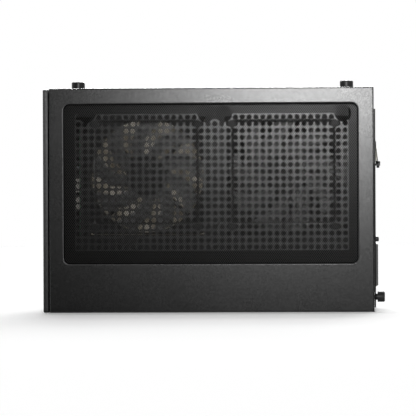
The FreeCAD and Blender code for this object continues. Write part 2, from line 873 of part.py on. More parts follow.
def cover_knobs():
    knobs = []
    for x, y in knob_places:
        head = rod_z(knob_radius, x, y, (body_height, body_height + knob_height))
        head = head.makeFillet(knob_edge, edges_at(head, along_z, body_height + knob_height))
        shank = rod_z(knob_shank_radius, x, y, (wall_top - bush_length, body_height))
        knobs.append(joined([head, shank]))
    return Part.makeCompound(knobs)


# Slide-out tray and back plate

def board_hole_places():
    near = board_side + board_hole_near
    far = board_side + board_hole_far
    return [
        (board_rear - board_hole_rear, near),
        (board_rear - board_hole_rear_slots, far),
        (board_rear - board_hole_front, near),
        (board_rear - board_hole_front, far),
    ]


def board_tray():
    tray_x = (tray_front, plate_inner)
    lip_z = (tray_height, tray_top + tray_lip)
    solids = [block(tray_x, (-tray_half_width, tray_half_width), (tray_height, tray_top))]
    for side in (-1, 1):
        lip_y = (side * (tray_half_width - chassis_sheet), side * tray_half_width)
        solids.append(block(tray_x, lip_y, lip_z))
    front_lip = (tray_front, tray_front + chassis_sheet)
    solids.append(block(front_lip, (-tray_half_width, tray_half_width), lip_z))
    holes = board_hole_places()
    middle_x = sum(x for x, y in holes) / len(holes)
    middle_y = sum(y for x, y in holes) / len(holes)
    cutout = rounded_block(
        (middle_x - tray_cutout / 2, middle_x + tray_cutout / 2),
        (middle_y - tray_cutout / 2, middle_y + tray_cutout / 2),
        (tray_height, tray_top),
        along_z,
        window_radius,
    )
    return joined(solids).cut(cutout)


def board_standoffs():
    height = (tray_top, tray_top + standoff_height)
    standoffs = []
    for x, y in board_hole_places():
        corners = []
        for corner in range(6):
            turn = math.radians(60 * corner + 30)
            corner_x = x + standoff_radius * math.cos(turn)
            corners.append(Vector(corner_x, y + standoff_radius * math.sin(turn), tray_top))
        hexagon = prism(corners, Vector(0, 0, standoff_height))
        standoffs.append(hexagon.cut(rod_z(standoff_hole_radius, x, y, height)))
    return Part.makeCompound(standoffs)


def back_plate():
    depth = (plate_inner, plate_outer)
    plate = block(depth, (-plate_half_width, plate_half_width), (plate_bottom, plate_top))
    slot_edge = slot_cover_width / 2
    ledge_y = (slot_places[0] - slot_edge, slot_places[-1] + slot_edge)
    ledge_x = (plate_inner, plate_outer + slot_ledge_reach)
    ledge = block(ledge_x, ledge_y, (slot_ledge_top - slot_ledge_sheet, slot_ledge_top))
    cuts = [block(depth, (io_side, io_side + io_width), (io_bottom, io_top))]
    screw_x = plate_outer + slot_screw_offset
    for y in slot_places:
        opening_y = (y - slot_opening_width / 2, y + slot_opening_width / 2)
        cuts.append(block(depth, opening_y, (slot_opening_bottom, slot_opening_top)))
        slit_y = (y - slot_edge - slot_slit, y + slot_edge + slot_slit)
        cuts.append(block(depth, slit_y, (slot_ledge_top, slot_ledge_top + slot_cover_sheet + slot_slit)))
        screw_z = (slot_ledge_top - slot_ledge_sheet, slot_ledge_top)
        cuts.append(rod_z(slot_screw_radius + thread_clearance, screw_x, y, screw_z))
    cuts.append(rounded_block(
        depth,
        (psu_offset - psu_opening_width / 2, psu_offset + psu_opening_width / 2),
        (psu_height - psu_opening_height / 2, psu_height + psu_opening_height / 2),
        along_x,
        psu_opening_radius,
    ))
    for y in (psu_offset - psu_hole_width / 2, psu_offset + psu_hole_width / 2):
        for z in (psu_height - psu_hole_height / 2, psu_height + psu_hole_height / 2):
            cuts.append(rod_x(psu_hole_radius, depth, y, z))
    for number in range(rear_vent_count):
        y = rear_vent_middle + (number - (rear_vent_count - 1) / 2) * rear_vent_pitch
        vent_y = (y - rear_vent_half_width, y + rear_vent_half_width)
        cuts.append(joined([
            block(depth, vent_y, (rear_vent_low, rear_vent_high)),
            rod_x(rear_vent_half_width, depth, y, rear_vent_low),
            rod_x(rear_vent_half_width, depth, y, rear_vent_high),
        ]))
    for y, z in thumb_places:
        cuts.append(rod_x(thumb_shank_radius + thread_clearance, depth, y, z))
    for y, z in plate_screw_places:
        cuts.append(rod_x(plate_screw_radius + thread_clearance, depth, y, z))
    return joined([plate, ledge]).cut(cuts)


def frustum_x(x_range, y_range, z_range, slope):
    def outline(x, inset):
        corners = [
            Vector(x, y_range[0] + inset, z_range[0] + inset),
            Vector(x, y_range[1] - inset, z_range[0] + inset),
            Vector(x, y_range[1] - inset, z_range[1] - inset),
            Vector(x, y_range[0] + inset, z_range[1] - inset),
        ]
        return Part.makePolygon(corners + corners[:1])
    return Part.makeLoft([outline(x_range[0], 0), outline(x_range[1], slope)], True, True)


def io_shield():
    across = (io_side + io_clearance, io_side + io_width - io_clearance)
    upright = (io_bottom + io_clearance, io_top - io_clearance)
    rim_x = (plate_inner - io_sheet, plate_inner)
    rim = block(
        rim_x,
        (io_side - io_rim, io_side + io_width + io_rim),
        (io_bottom - io_rim, io_top + io_rim),
    )
    throat = block((plate_inner, plate_outer), across, upright)
    nose = frustum_x((plate_outer, plate_outer + io_proud), across, upright, io_slope)
    inner_y = (across[0] + io_sheet, across[1] - io_sheet)
    inner_z = (upright[0] + io_sheet, upright[1] - io_sheet)
    hollow = block((plate_inner - io_sheet, plate_outer), inner_y, inner_z)
    hollow_nose = frustum_x((plate_outer, plate_outer + io_proud - io_sheet), inner_y, inner_z, io_slope)
    return joined([rim, throat, nose]).cut([hollow, hollow_nose])


def slot_covers():
    covers = []
    tab_z = (slot_ledge_top, slot_ledge_top + slot_cover_sheet)
    for y in slot_places:
        across = (y - slot_cover_width / 2, y + slot_cover_width / 2)
        strip = block((plate_inner - slot_cover_sheet, plate_inner), across, (slot_cover_bottom, tab_z[1]))
        tab = block((plate_inner - slot_cover_sheet, plate_outer + slot_ledge_reach), across, tab_z)
        hole = rod_z(slot_screw_radius + thread_clearance, plate_outer + slot_screw_offset, y, tab_z)
        covers.append(joined([strip, tab]).cut(hole))
    return Part.makeCompound(covers)


def slot_screws():
    tab_top = slot_ledge_top + slot_cover_sheet
    x = plate_outer + slot_screw_offset
    screws = []
    for y in slot_places:
        head = rod_z(slot_screw_head_radius, x, y, (tab_top, tab_top + slot_screw_head))
        shank = rod_z(slot_screw_radius, x, y, (tab_top - slot_screw_length, tab_top))
        screws.append(joined([head, shank]))
    return Part.makeCompound(screws)


def slot_hood():
    edge = slot_cover_width / 2
    start = slot_places[0] - edge
    profile = [
        Vector(plate_outer, start, hood_top),
        Vector(plate_outer + hood_sheet, start, hood_top),
        Vector(plate_outer + hood_sheet, start, hood_bend),
        Vector(plate_outer + hood_reach, start, hood_bottom),
        Vector(plate_outer + hood_reach - hood_sheet, start, hood_bottom),
        Vector(plate_outer, start, hood_bend),
    ]
    return prism(profile, Vector(0, slot_places[-1] + edge - start, 0))


def tray_thumbscrews():
    screws = []
    neck_end = plate_outer + thumb_neck_length
    head_end = neck_end + thumb_head_length
    for y, z in thumb_places:
        head = rod_x(thumb_head_radius, (neck_end, head_end), y, z)
        head = head.makeChamfer(thumb_head_chamfer, edges_at(head, along_x, head_end))
        neck = rod_x(thumb_neck_radius, (plate_outer, neck_end), y, z)
        shank = rod_x(thumb_shank_radius, (plate_outer - thumb_shank_length, plate_outer), y, z)
        screws.append(joined([head, neck, shank]))
    return Part.makeCompound(screws)


def back_plate_screws():
    screws = []
    head_end = plate_outer + plate_screw_head
    for y, z in plate_screw_places:
        head = rod_x(plate_screw_head_radius, (plate_outer, head_end), y, z)
        head = head.makeFillet(plate_screw_head_radius / 2, edges_at(head, along_x, head_end))
        shank = rod_x(plate_screw_radius, (plate_outer - plate_screw_length, plate_outer), y, z)
        screws.append(joined([head, shank]))
    return Part.makeCompound(screws)


pieces = {
    "base_pan": base_pan(),
    "front_wall": front_wall(),
    "rear_frame": rear_frame(),
    "fan_wall": fan_wall(),
    "far_wall": far_wall(),
    "top_frame": top_frame(),
    "tray_rails": tray_rails(),
    "panel_sockets": panel_sockets(),
    "bezel_sockets": bezel_sockets(),
    "cover_bushes": cover_bushes(),
    "drive_plate": drive_plate(),
    "front_fan_frame": fan_frame(fan_places[0]),
    "rear_fan_frame": fan_frame(fan_places[1]),
    "front_fan_rotor": fan_rotor(fan_places[0]),
    "rear_fan_rotor": fan_rotor(fan_places[1]),
    "fan_screws": fan_screws(),
    "near_panel": side_panel(-1),
    "near_filter_mesh": filter_mesh(-1),
    "near_filter_frame": filter_frame(-1),
    "near_panel_studs": panel_studs(-1),
    "far_panel": side_panel(1),
    "far_filter_mesh": filter_mesh(1),
    "far_filter_frame": filter_frame(1),
    "far_panel_studs": panel_studs(1),
    "front_bezel": front_bezel(),
    "bezel_pins": bezel_pins(),
    "light_pipe": light_pipe(),
    "power_button": push_button(power_radius, power_height),
    "reset_button": push_button(reset_radius, reset_height),
    "button_switches": button_switches(),
    "status_light": status_light(),
    "usb_sockets": usb_sockets(),
    "audio_sockets": audio_sockets(),
    "port_board": port_board(),
    "port_bracket": port_bracket(),
    "top_cover": top_cover(),
    "cover_knobs": cover_knobs(),
    "board_tray": board_tray(),
    "board_standoffs": board_standoffs(),
    "back_plate": back_plate(),
    "io_shield": io_shield(),
    "slot_covers": slot_covers(),
    "slot_screws": slot_screws(),
    "slot_hood": slot_hood(),
    "tray_thumbscrews": tray_thumbscrews(),
    "back_plate_screws": back_plate_screws(),
}

os.makedirs("parts", exist_ok=True)
for name, shape in pieces.items():
    shape.exportStep("parts/" + name + ".step")
print(len(pieces), "pieces written")
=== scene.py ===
import bpy
import json
import math
from mathutils import Matrix, Vector


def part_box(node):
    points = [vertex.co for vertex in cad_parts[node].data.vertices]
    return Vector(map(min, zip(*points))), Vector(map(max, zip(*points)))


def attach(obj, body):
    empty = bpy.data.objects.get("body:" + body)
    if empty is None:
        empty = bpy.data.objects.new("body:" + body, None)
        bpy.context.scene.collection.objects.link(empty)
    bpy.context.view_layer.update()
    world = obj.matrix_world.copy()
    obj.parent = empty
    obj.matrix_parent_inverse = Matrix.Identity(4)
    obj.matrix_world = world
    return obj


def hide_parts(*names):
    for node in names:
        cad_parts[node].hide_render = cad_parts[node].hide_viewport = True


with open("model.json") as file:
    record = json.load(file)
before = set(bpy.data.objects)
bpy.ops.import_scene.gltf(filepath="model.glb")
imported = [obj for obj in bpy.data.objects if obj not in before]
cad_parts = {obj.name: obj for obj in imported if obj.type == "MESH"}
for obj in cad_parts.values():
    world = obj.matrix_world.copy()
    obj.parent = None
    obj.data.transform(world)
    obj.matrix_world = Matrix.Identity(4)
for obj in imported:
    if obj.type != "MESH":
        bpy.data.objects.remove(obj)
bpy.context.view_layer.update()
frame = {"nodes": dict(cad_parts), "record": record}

scene = bpy.context.scene
nodes = frame["nodes"]
hair = 1e-5  # slack for picking by place and for merging
faceOn = 0.9  # least share of its normal along an axis, for a face that looks along it
edgeOn = 0.1  # most, for a face that stands edge-on to it
smoothAngle = math.radians(35)


# Small helpers for working by hand

def deselectAll():
    if bpy.context.mode != "OBJECT":
        bpy.ops.object.mode_set(mode="OBJECT")
    bpy.ops.object.select_all(action="DESELECT")


def makeActive(piece):
    deselectAll()
    piece.select_set(True)
    bpy.context.view_layer.objects.active = piece


def settle(piece):
    makeActive(piece)
    bpy.ops.object.transform_apply(location=True, rotation=True, scale=True)


def addBlock(name, low, high):
    deselectAll()
    middle = [(a + b) / 2 for a, b in zip(low, high)]
    size = [b - a for a, b in zip(low, high)]
    bpy.ops.mesh.primitive_cube_add(size=1, location=middle, scale=size)
    piece = bpy.context.object
    piece.name = name
    settle(piece)
    return piece


def addRod(name, radius, start, end, sides):
    deselectAll()
    start, end = Vector(start), Vector(end)
    turn = (end - start).to_track_quat("Z", "Y").to_euler()
    bpy.ops.mesh.primitive_cylinder_add(
        vertices=sides, radius=radius, depth=(end - start).length, location=(start + end) / 2, rotation=turn)
    piece = bpy.context.object
    piece.name = name
    settle(piece)
    return piece


def pick(piece, kind, test):
    makeActive(piece)
    bpy.ops.object.mode_set(mode="EDIT")
    bpy.ops.mesh.select_mode(type=kind)
    bpy.ops.mesh.select_all(action="DESELECT")
    bpy.ops.object.mode_set(mode="OBJECT")
    mesh = piece.data
    if kind == "VERT":
        for vertex in mesh.vertices:
            vertex.select = test(vertex.co)
    elif kind == "EDGE":
        for edge in mesh.edges:
            a, b = (mesh.vertices[i].co for i in edge.vertices)
            edge.select = test(a, b)
    else:
        for face in mesh.polygons:
            face.select = test(face.center, face.normal)
    bpy.ops.object.mode_set(mode="EDIT")


def pickAll(piece):
    makeActive(piece)
    bpy.ops.object.mode_set(mode="EDIT")
    bpy.ops.mesh.select_all(action="SELECT")


def done():
    bpy.ops.object.mode_set(mode="OBJECT")


def applyModifier(piece, kind, **settings):
    makeActive(piece)
    modifier = piece.modifiers.new(kind.title(), kind)
    for key, value in settings.items():
        setattr(modifier, key, value)
    bpy.ops.object.modifier_apply(modifier=modifier.name)


def repeat(piece, count, step):
    applyModifier(piece, "ARRAY", count=count, use_relative_offset=False, use_constant_offset=True,
                  constant_offset_displace=step, use_merge_vertices=True, merge_threshold=hair)


def cutAway(piece, cutter):
    applyModifier(piece, "BOOLEAN", operation="DIFFERENCE", object=cutter, solver="EXACT")
    bpy.data.objects.remove(cutter)


def join(pieces):
    makeActive(pieces[0])
    for piece in pieces[1:]:
        piece.select_set(True)
    bpy.ops.object.join()
    return pieces[0]


def smooth(piece):
    makeActive(piece)
    bpy.ops.object.shade_smooth_by_angle(angle=smoothAngle)


def addRing(name, low, high, axis, size):
    ring = addBlock(name, low, high)
    thick = high[axis] - low[axis]
    pick(ring, "EDGE", lambda a, b: abs(a[axis] - b[axis]) > thick / 2)  # the four corners
    bpy.ops.mesh.bevel(offset=size["corner"], segments=size["cornerSteps"])
    pick(ring, "FACE", lambda centre, normal: abs(normal[axis]) > faceOn)
    bpy.ops.mesh.inset(thickness=size["wide"], use_individual=True)
    bpy.ops.mesh.bridge_edge_loops()  # opens it right through
    done()
    smooth(ring)
    return ring


def dress(piece, material, body, slotName, *replaced):
    piece.data.materials.clear()
    piece.data.materials.append(material)
    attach(piece, body)
    if replaced:
        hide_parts(*replaced)


# Camera at the photograph's place

cameraPlace = {
    "place": (0.164, -3.8, 0.0759),
    "yaw": -2.637,
    "pitch": 0.476,
    "roll": -0.232,
    "focalPixels": 3618.9,
    "imagePixels": 416,
    "sensor": 36.0,
    "clipEnd": 100,
}


def makeCamera(size):
    yaw, pitch, roll = (math.radians(size[key]) for key in ("yaw", "pitch", "roll"))
    forward = Vector((math.sin(yaw) * math.cos(pitch), math.cos(yaw) * math.cos(pitch), math.sin(pitch)))
    right = Vector((math.cos(yaw), -math.sin(yaw), 0))
    up = right.cross(forward)
    across = math.cos(roll) * right + math.sin(roll) * up
    upright = math.cos(roll) * up - math.sin(roll) * right
    turn = Matrix((across, upright, -forward)).transposed()
    data = bpy.data.cameras.new("camera")
    data.sensor_width = size["sensor"]
    data.lens = size["focalPixels"] * size["sensor"] / size["imagePixels"]
    data.clip_end = size["clipEnd"]
    camera = bpy.data.objects.new("camera", data)
    scene.collection.objects.link(camera)
    camera.matrix_world = Matrix.Translation(size["place"]) @ turn.to_4x4()
    scene.camera = camera


makeCamera(cameraPlace)
scene.view_settings.view_transform = "Standard"
print("camera placed")


# Materials

noiseRange = (0.3, 0.7)  # most of a noise texture lies between these


class Recipe:
    def __init__(self, name):
        self.material = bpy.data.materials.new(name)
        self.material.use_nodes = True
        self.tree = self.material.node_tree
        self.shader = self.tree.nodes["Principled BSDF"]
        self.output = self.tree.nodes["Material Output"]
        self.place = self.add("ShaderNodeTexCoord").outputs["Object"]

    def add(self, kind, **settings):
        node = self.tree.nodes.new(kind)
        for key, value in settings.items():
            setattr(node, key, value)
        return node

    def link(self, start, end):
        self.tree.links.new(start, end)

    def put(self, **values):
        for key, value in values.items():
            self.shader.inputs[key.replace("_", " ")].default_value = value

    def stretched(self, scale):
        mapping = self.add("ShaderNodeMapping")
        mapping.inputs["Scale"].default_value = scale
        self.link(self.place, mapping.inputs["Vector"])
        return mapping.outputs["Vector"]

    def noise(self, scale, detail=2.0, rough=0.5, place=None):
        node = self.add("ShaderNodeTexNoise")
        node.inputs["Scale"].default_value = scale
        node.inputs["Detail"].default_value = detail
        node.inputs["Roughness"].default_value = rough
        self.link(place or self.place, node.inputs["Vector"])
        return node.outputs["Fac"]

    def ramp(self, factor, stops):
        node = self.add("ShaderNodeValToRGB")
        band = node.color_ramp.elements
        while len(band) < len(stops):
            band.new(0.5)
        for element, (position, colour) in zip(band, stops):
            element.position = position
            element.color = (*colour, 1)
        self.link(factor, node.inputs["Fac"])
        return node.outputs["Color"]

    def tint(self, noise, dark, pale):
        return self.ramp(noise, list(zip(noiseRange, (dark, pale))))

    def remap(self, value, start, end, low=0.0, high=1.0):
        node = self.add("ShaderNodeMapRange")
        for key, number in (("From Min", start), ("From Max", end), ("To Min", low), ("To Max", high)):
            node.inputs[key].default_value = number
        self.link(value, node.inputs["Value"])
        return node.outputs["Result"]

    def spread(self, noise, low, high):
        return self.remap(noise, *noiseRange, low, high)

    def bump(self, height, strength, distance):
        node = self.add("ShaderNodeBump")
        node.inputs["Strength"].default_value = strength
        node.inputs["Distance"].default_value = distance
        self.link(height, node.inputs["Height"])
        self.link(node.outputs["Normal"], self.shader.inputs["Normal"])

    def axis(self, letter):
        node = self.add("ShaderNodeSeparateXYZ")
        self.link(self.place, node.inputs[0])
        return node.outputs[letter]

    def calc(self, operation, *values):
        node = self.add("ShaderNodeMath", operation=operation)
        for socket, value in zip(node.inputs, values):
            if isinstance(value, float):
                socket.default_value = value
            else:
                self.link(value, socket)
        return node.outputs[0]

    def blend(self, factor, first, second):
        node = self.add("ShaderNodeMix", data_type="FLOAT")
        self.link(factor, node.inputs["Factor"])
        self.link(first, node.inputs[2])  # sockets 2 and 3 of a Mix node are its numbers
        node.inputs[3].default_value = second
        return node.outputs[0]

    def mixColours(self, first, second):
        node = self.add("ShaderNodeMix", data_type="RGBA")
        self.link(first, node.inputs[6])  # sockets 6 and 7 are its colours
        self.link(second, node.inputs[7])
        return node.inputs["Factor"], node.outputs[2]

    def colour(self, output):
        self.link(output, self.shader.inputs["Base Color"])

    def roughness(self, output):
        self.link(output, self.shader.inputs["Roughness"])


def grey(level):
    return (level, level, level)


coatGrain = {
    "speckle": 540,
    "cloud": 18,
    "cloudShare": 0.25,
    "tones": ((0.35, 0.72), (0.62, 1.0), (0.9, 1.45)),
    "roughSpread": 0.01,
    "shineSpread": 0.24,
    "fine": 1900,
    "bump": 0.04,
    "bumpDepth": 0.0003,
}


def powderCoat(name, level, rough, specular, special=None, grain=coatGrain):
    r = Recipe(name)
    speckle = r.noise(grain["speckle"], detail=2.0, rough=0.7)
    cloud = r.noise(grain["cloud"], detail=3.0)
    tone = r.calc("MULTIPLY_ADD", cloud, grain["cloudShare"], speckle)
    r.colour(r.ramp(tone, [(position, grey(level * share)) for position, share in grain["tones"]]))
    r.roughness(r.spread(cloud, rough - grain["roughSpread"], rough + grain["roughSpread"]))
    shine = r.spread(speckle, specular * (1 - grain["shineSpread"]), specular * (1 + grain["shineSpread"]))
    if special:
        shine = special(r, shine)
    r.put(Specular_IOR_Level=specular)
    r.link(shine, r.shader.inputs["Specular IOR Level"])
    r.bump(r.noise(grain["fine"], detail=2.0, rough=0.6), grain["bump"], grain["bumpDepth"])
    return r.material


# where the coat shines more or less: each pair is where the change starts and ends
# painted highlight on the side panels' rounded edges
panelEdgeHighlight = {
    "insideFace": (0.11796, 0.11792),
    "belowTop": (0.2277, 0.2275),
    "beforeRear": (0.162, 0.1618),
    "shine": 1.0,
}
wallBorder = {
    "middleX": -0.0022,
    "middleZ": 0.133,
    "edgeX": (0.1398, 0.1402),
    "edgeZ": (0.0698, 0.0702),
    "shine": 0.07,
}
# painted shade on the back plate's front edge
plateEdgeShade = {
    "depth": (0.0003, 0.0001),
    "shine": 0.02,
}


def paintedEdgeHighlight(r, shine):
    # painted highlight: the shine is raised on the rounded edges just inside the outer face, but not along
    # the top or rear edge, to give bright edge lines
    inside = r.remap(r.calc("ABSOLUTE", r.axis("Y")), *panelEdgeHighlight["insideFace"])
    belowTop = r.remap(r.axis("Z"), *panelEdgeHighlight["belowTop"])
    beforeRear = r.remap(r.axis("X"), *panelEdgeHighlight["beforeRear"])
    where = r.calc("MULTIPLY", r.calc("MULTIPLY", inside, belowTop), beforeRear)
    return r.blend(where, shine, panelEdgeHighlight["shine"])


def matteBorder(r, shine):
    # the plain border round the holes looks dull and dark in the photograph
    offX = r.calc("ABSOLUTE", r.calc("SUBTRACT", r.axis("X"), wallBorder["middleX"]))
    offZ = r.calc("ABSOLUTE", r.calc("SUBTRACT", r.axis("Z"), wallBorder["middleZ"]))
    outside = r.calc("MAXIMUM", r.remap(offX, *wallBorder["edgeX"]), r.remap(offZ, *wallBorder["edgeZ"]))
    return r.blend(outside, shine, wallBorder["shine"])


def paintedShadeEdge(r, shine):
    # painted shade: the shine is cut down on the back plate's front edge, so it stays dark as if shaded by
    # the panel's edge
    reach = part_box("back_plate")[1].y
    start, end = (reach - depth for depth in plateEdgeShade["depth"])
    edge = r.remap(r.calc("ABSOLUTE", r.axis("Y")), start, end)
    return r.blend(edge, shine, plateEdgeShade["shine"])


plasticGrain = {
    "dark": 0.75,
    "pale": 1.2,
    "patches": 60,
    "roughSpread": 0.06,
    "bumpDepth": 0.0002,
}


def satinPlastic(name, level, rough, fineness, bump, specular=0.35, grain=plasticGrain):
    r = Recipe(name)
    speckle = r.noise(fineness, detail=3.0, rough=0.6)
    r.colour(r.tint(speckle, grey(level * grain["dark"]), grey(level * grain["pale"])))
    patches = r.noise(grain["patches"])
    r.roughness(r.spread(patches, rough - grain["roughSpread"], rough + grain["roughSpread"]))
    r.bump(speckle, bump, grain["bumpDepth"])
    r.put(Specular_IOR_Level=specular)
    return r.material


rotorTone = {
    "hubRadius": 0.0205,
    "hubEdge": 0.0002,
    "hub": (0.007, 0.012),
    # painted sheen: the blades are glossy black, their glint is painted in as this grey
    "bladeSheen": (0.19, 0.25),
    "fineness": 700,
    "rough": (0.45, 0.55),
    "bump": 0.06,
    "shine": 0.12,
}


# dark hub, and blades coloured with a painted sheen
def bladeSheenPlastic(name, axisX, axisZ, tone=rotorTone):
    r = Recipe(name)
    away = r.add("ShaderNodeVectorMath", operation="DISTANCE")
    r.link(r.stretched((1, 0, 1)), away.inputs[0])
    away.inputs[1].default_value = (axisX, 0, axisZ)
    start, end = tone["hubRadius"] - tone["hubEdge"], tone["hubRadius"] + tone["hubEdge"]
    onBlade = r.remap(away.outputs["Value"], start, end)
    speckle = r.noise(tone["fineness"], detail=3.0, rough=0.6)
    hub, bladeSheen = (r.tint(speckle, *map(grey, tone[part])) for part in ("hub", "bladeSheen"))
    share, mixed = r.mixColours(hub, bladeSheen)
    r.link(onBlade, share)
    r.colour(mixed)
    r.roughness(r.spread(r.noise(plasticGrain["patches"]), *tone["rough"]))
    r.bump(speckle, tone["bump"], plasticGrain["bumpDepth"])
    r.put(Specular_IOR_Level=tone["shine"])
    return r.material


metalGrain = {
    "tones": ((0.25, 0.78), (0.75, 1.1)),
    "cloud": 35,
    "smoother": 0.07,
    "rougher": 0.08,
    "bump": 0.08,
    "bumpDepth": 0.0002,
}


def brushedMetal(name, colour, rough, stretch, grain=metalGrain):
    r = Recipe(name)
    streak = r.noise(1.0, detail=4.0, rough=0.65, place=r.stretched(stretch))
    cloud = r.noise(grain["cloud"], detail=3.0)
    tones = [(position, [min(1, c * share) for c in colour]) for position, share in grain["tones"]]
    r.colour(r.ramp(streak, tones))
    r.roughness(r.spread(cloud, rough - grain["smoother"], rough + grain["rougher"]))
    r.bump(streak, grain["bump"], grain["bumpDepth"])
    r.put(Metallic=1.0)
    return r.material


netTone = {
    "fibre": 900,
    "tones": (0.004, 0.01),
    "rough": (0.4, 0.55),
    "bump": 0.12,
    "bumpDepth": 0.0001,
    "shine": 0.04,
    "through": (0.8, 0.75, 0.65),
}


def filterNet(name, through, tone=netTone):
    r = Recipe(name)
    fibre = r.noise(tone["fibre"], detail=3.0)
    r.colour(r.tint(fibre, *map(grey, tone["tones"])))
    r.roughness(r.spread(fibre, *tone["rough"]))
    r.bump(fibre, tone["bump"], tone["bumpDepth"])
    r.put(Specular_IOR_Level=tone["shine"])
    glow = r.add("ShaderNodeBsdfTranslucent")  # thin nylon lets some warm light through
    glow.inputs["Color"].default_value = (*tone["through"], 1)
    both = r.add("ShaderNodeMixShader")
    both.inputs["Fac"].default_value = through
    r.link(r.shader.outputs[0], both.inputs[1])
    r.link(glow.outputs[0], both.inputs[2])
    r.link(both.outputs[0], r.output.inputs["Surface"])
    return r.material


boardTone = {
    "weave": 500,
    "weaveTones": ((0.03, 0.11, 0.055), (0.05, 0.16, 0.08)),
    "traces": 260,
    "traceTones": ((0.04, (0.09, 0.26, 0.13)), (0.08, (0.035, 0.12, 0.06))),
    "weaveShare": 0.35,
    "rough": (0.25, 0.4),
    "bump": 0.1,
    "bumpDepth": 0.0002,
}


def lacquerBoard(name, tone=boardTone):
    r = Recipe(name)
    weave = r.noise(tone["weave"], detail=3.0)
    traces = r.add("ShaderNodeTexVoronoi", feature="DISTANCE_TO_EDGE")
    traces.inputs["Scale"].default_value = tone["traces"]
    r.link(r.place, traces.inputs["Vector"])
    lines = r.ramp(traces.outputs["Distance"], tone["traceTones"])
    share, mixed = r.mixColours(lines, r.tint(weave, *tone["weaveTones"]))
    share.default_value = tone["weaveShare"]
    r.colour(mixed)
    r.roughness(r.spread(weave, *tone["rough"]))
    r.bump(traces.outputs["Distance"], tone["bump"], tone["bumpDepth"])
    return r.material


def hazyPlastic(name, haze, dark, pale, rough, **clear):
    r = Recipe(name)
    cloud = r.noise(haze)
    r.colour(r.tint(cloud, dark, pale))
    r.roughness(r.spread(cloud, *rough))
    r.put(**clear)
    return r.material


finishes = {
    "panel_coat": powderCoat("panelCoat", level=0.004, rough=0.25, specular=0.15),
    "chassis_coat": powderCoat("chassisCoat", level=0.006, rough=0.25, specular=0.22),
    "filter_plastic": filterNet("filterNet", through=0.1),
    "fan_plastic": satinPlastic("fanPlastic", level=0.01, rough=0.6, fineness=700, bump=0.06, specular=0.12),
    "socket_plastic": satinPlastic("socketPlastic", level=0.02, rough=0.5, fineness=900, bump=0.08),
    "stud_steel": brushedMetal("studSteel", (0.55, 0.55, 0.56), rough=0.32, stretch=(90, 90, 900)),
    "black_screw": satinPlastic("blackScrew", level=0.012, rough=0.48, fineness=800, bump=0.05, specular=0.2),
    "bezel_anodised": powderCoat("bezelAnodised", level=0.01, rough=0.3, specular=0.21),
    "knob_black": satinPlastic("knobBlack", level=0.008, rough=0.42, fineness=500, bump=0.04, specular=0.2),
    "shield_grey": satinPlastic("shieldGrey", level=0.05, rough=0.4, fineness=500, bump=0.05),
    "bare_steel": brushedMetal("bareSteel", (0.46, 0.44, 0.4), rough=0.4, stretch=(60, 60, 700)),
    "standoff_brass": brushedMetal("standoffBrass", (0.76, 0.58, 0.27), rough=0.3, stretch=(80, 80, 700)),
    "board_green": lacquerBoard("boardGreen"),
    "light_clear": hazyPlastic("lightClear", haze=300, dark=(0.86, 0.9, 0.94), pale=(0.95, 0.97, 1.0),
                               rough=(0.12, 0.25), Transmission_Weight=0.7, IOR=1.49),
    "light_plastic": hazyPlastic("lightDiffuser", haze=400, dark=(0.78, 0.83, 0.88), pale=(0.86, 0.91, 0.96),
                                 rough=(0.3, 0.45)),
}
for subpart in frame["record"]["subparts"]:
    node = nodes[subpart["node"]]
    node.data.materials.clear()
    node.data.materials.append(finishes[subpart["material_slot"]])
# side panels get the coat with the painted edge highlight
panelCoat = powderCoat("sidePanelCoatEdgeHighlight", level=0.004, rough=0.25, specular=0.15, special=paintedEdgeHighlight)
for name in ("near_panel", "far_panel"):
    nodes[name].data.materials[0] = panelCoat
# back plate gets the coat with the painted edge shade
plateCoatWithShade = powderCoat("backPlateCoatEdgeShade", level=0.006, rough=0.25, specular=0.22, special=paintedShadeEdge)
nodes["back_plate"].data.materials[0] = plateCoatWithShade
for name in ("front_fan_rotor", "rear_fan_rotor"):  # dark hub; blades painted grey as a painted sheen of their glossy black plastic
    low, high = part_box(name)
    rotorSheenPlastic = bladeSheenPlastic(name + "Plastic", (low.x + high.x) / 2, (low.z + high.z) / 2)
    nodes[name].data.materials[0] = rotorSheenPlastic


# Perforated wall in front of the fans

fanWallSize = {
    "middle": -0.0022,
    "pitch": 0.007,
    "columns": 40,
    "rows": 20,
    "lowestRow": 0.0665,
    "holeRadius": 0.00262,
    "cellSquares": 6,
    "sheet": 0.0008,
    "faceY": -0.1089,
    "recess": 0.0008,
    "fans": (-0.0687, 0.0713),
    "recessHalf": 0.0525,
    "recessZ": (0.091, 0.196),
    "lobeAway": (0.0608, 0.0625),
    "lobeRadius": 0.0085,
    "fanZ": 0.14,
    "studX": (-0.1458, -0.0022, 0.1414),
    "studZ": (0.025, 0.222),
    "studHole": 0.0027,
    "cutterY": (-0.13, -0.1),
    "cutterSides": 32,
}


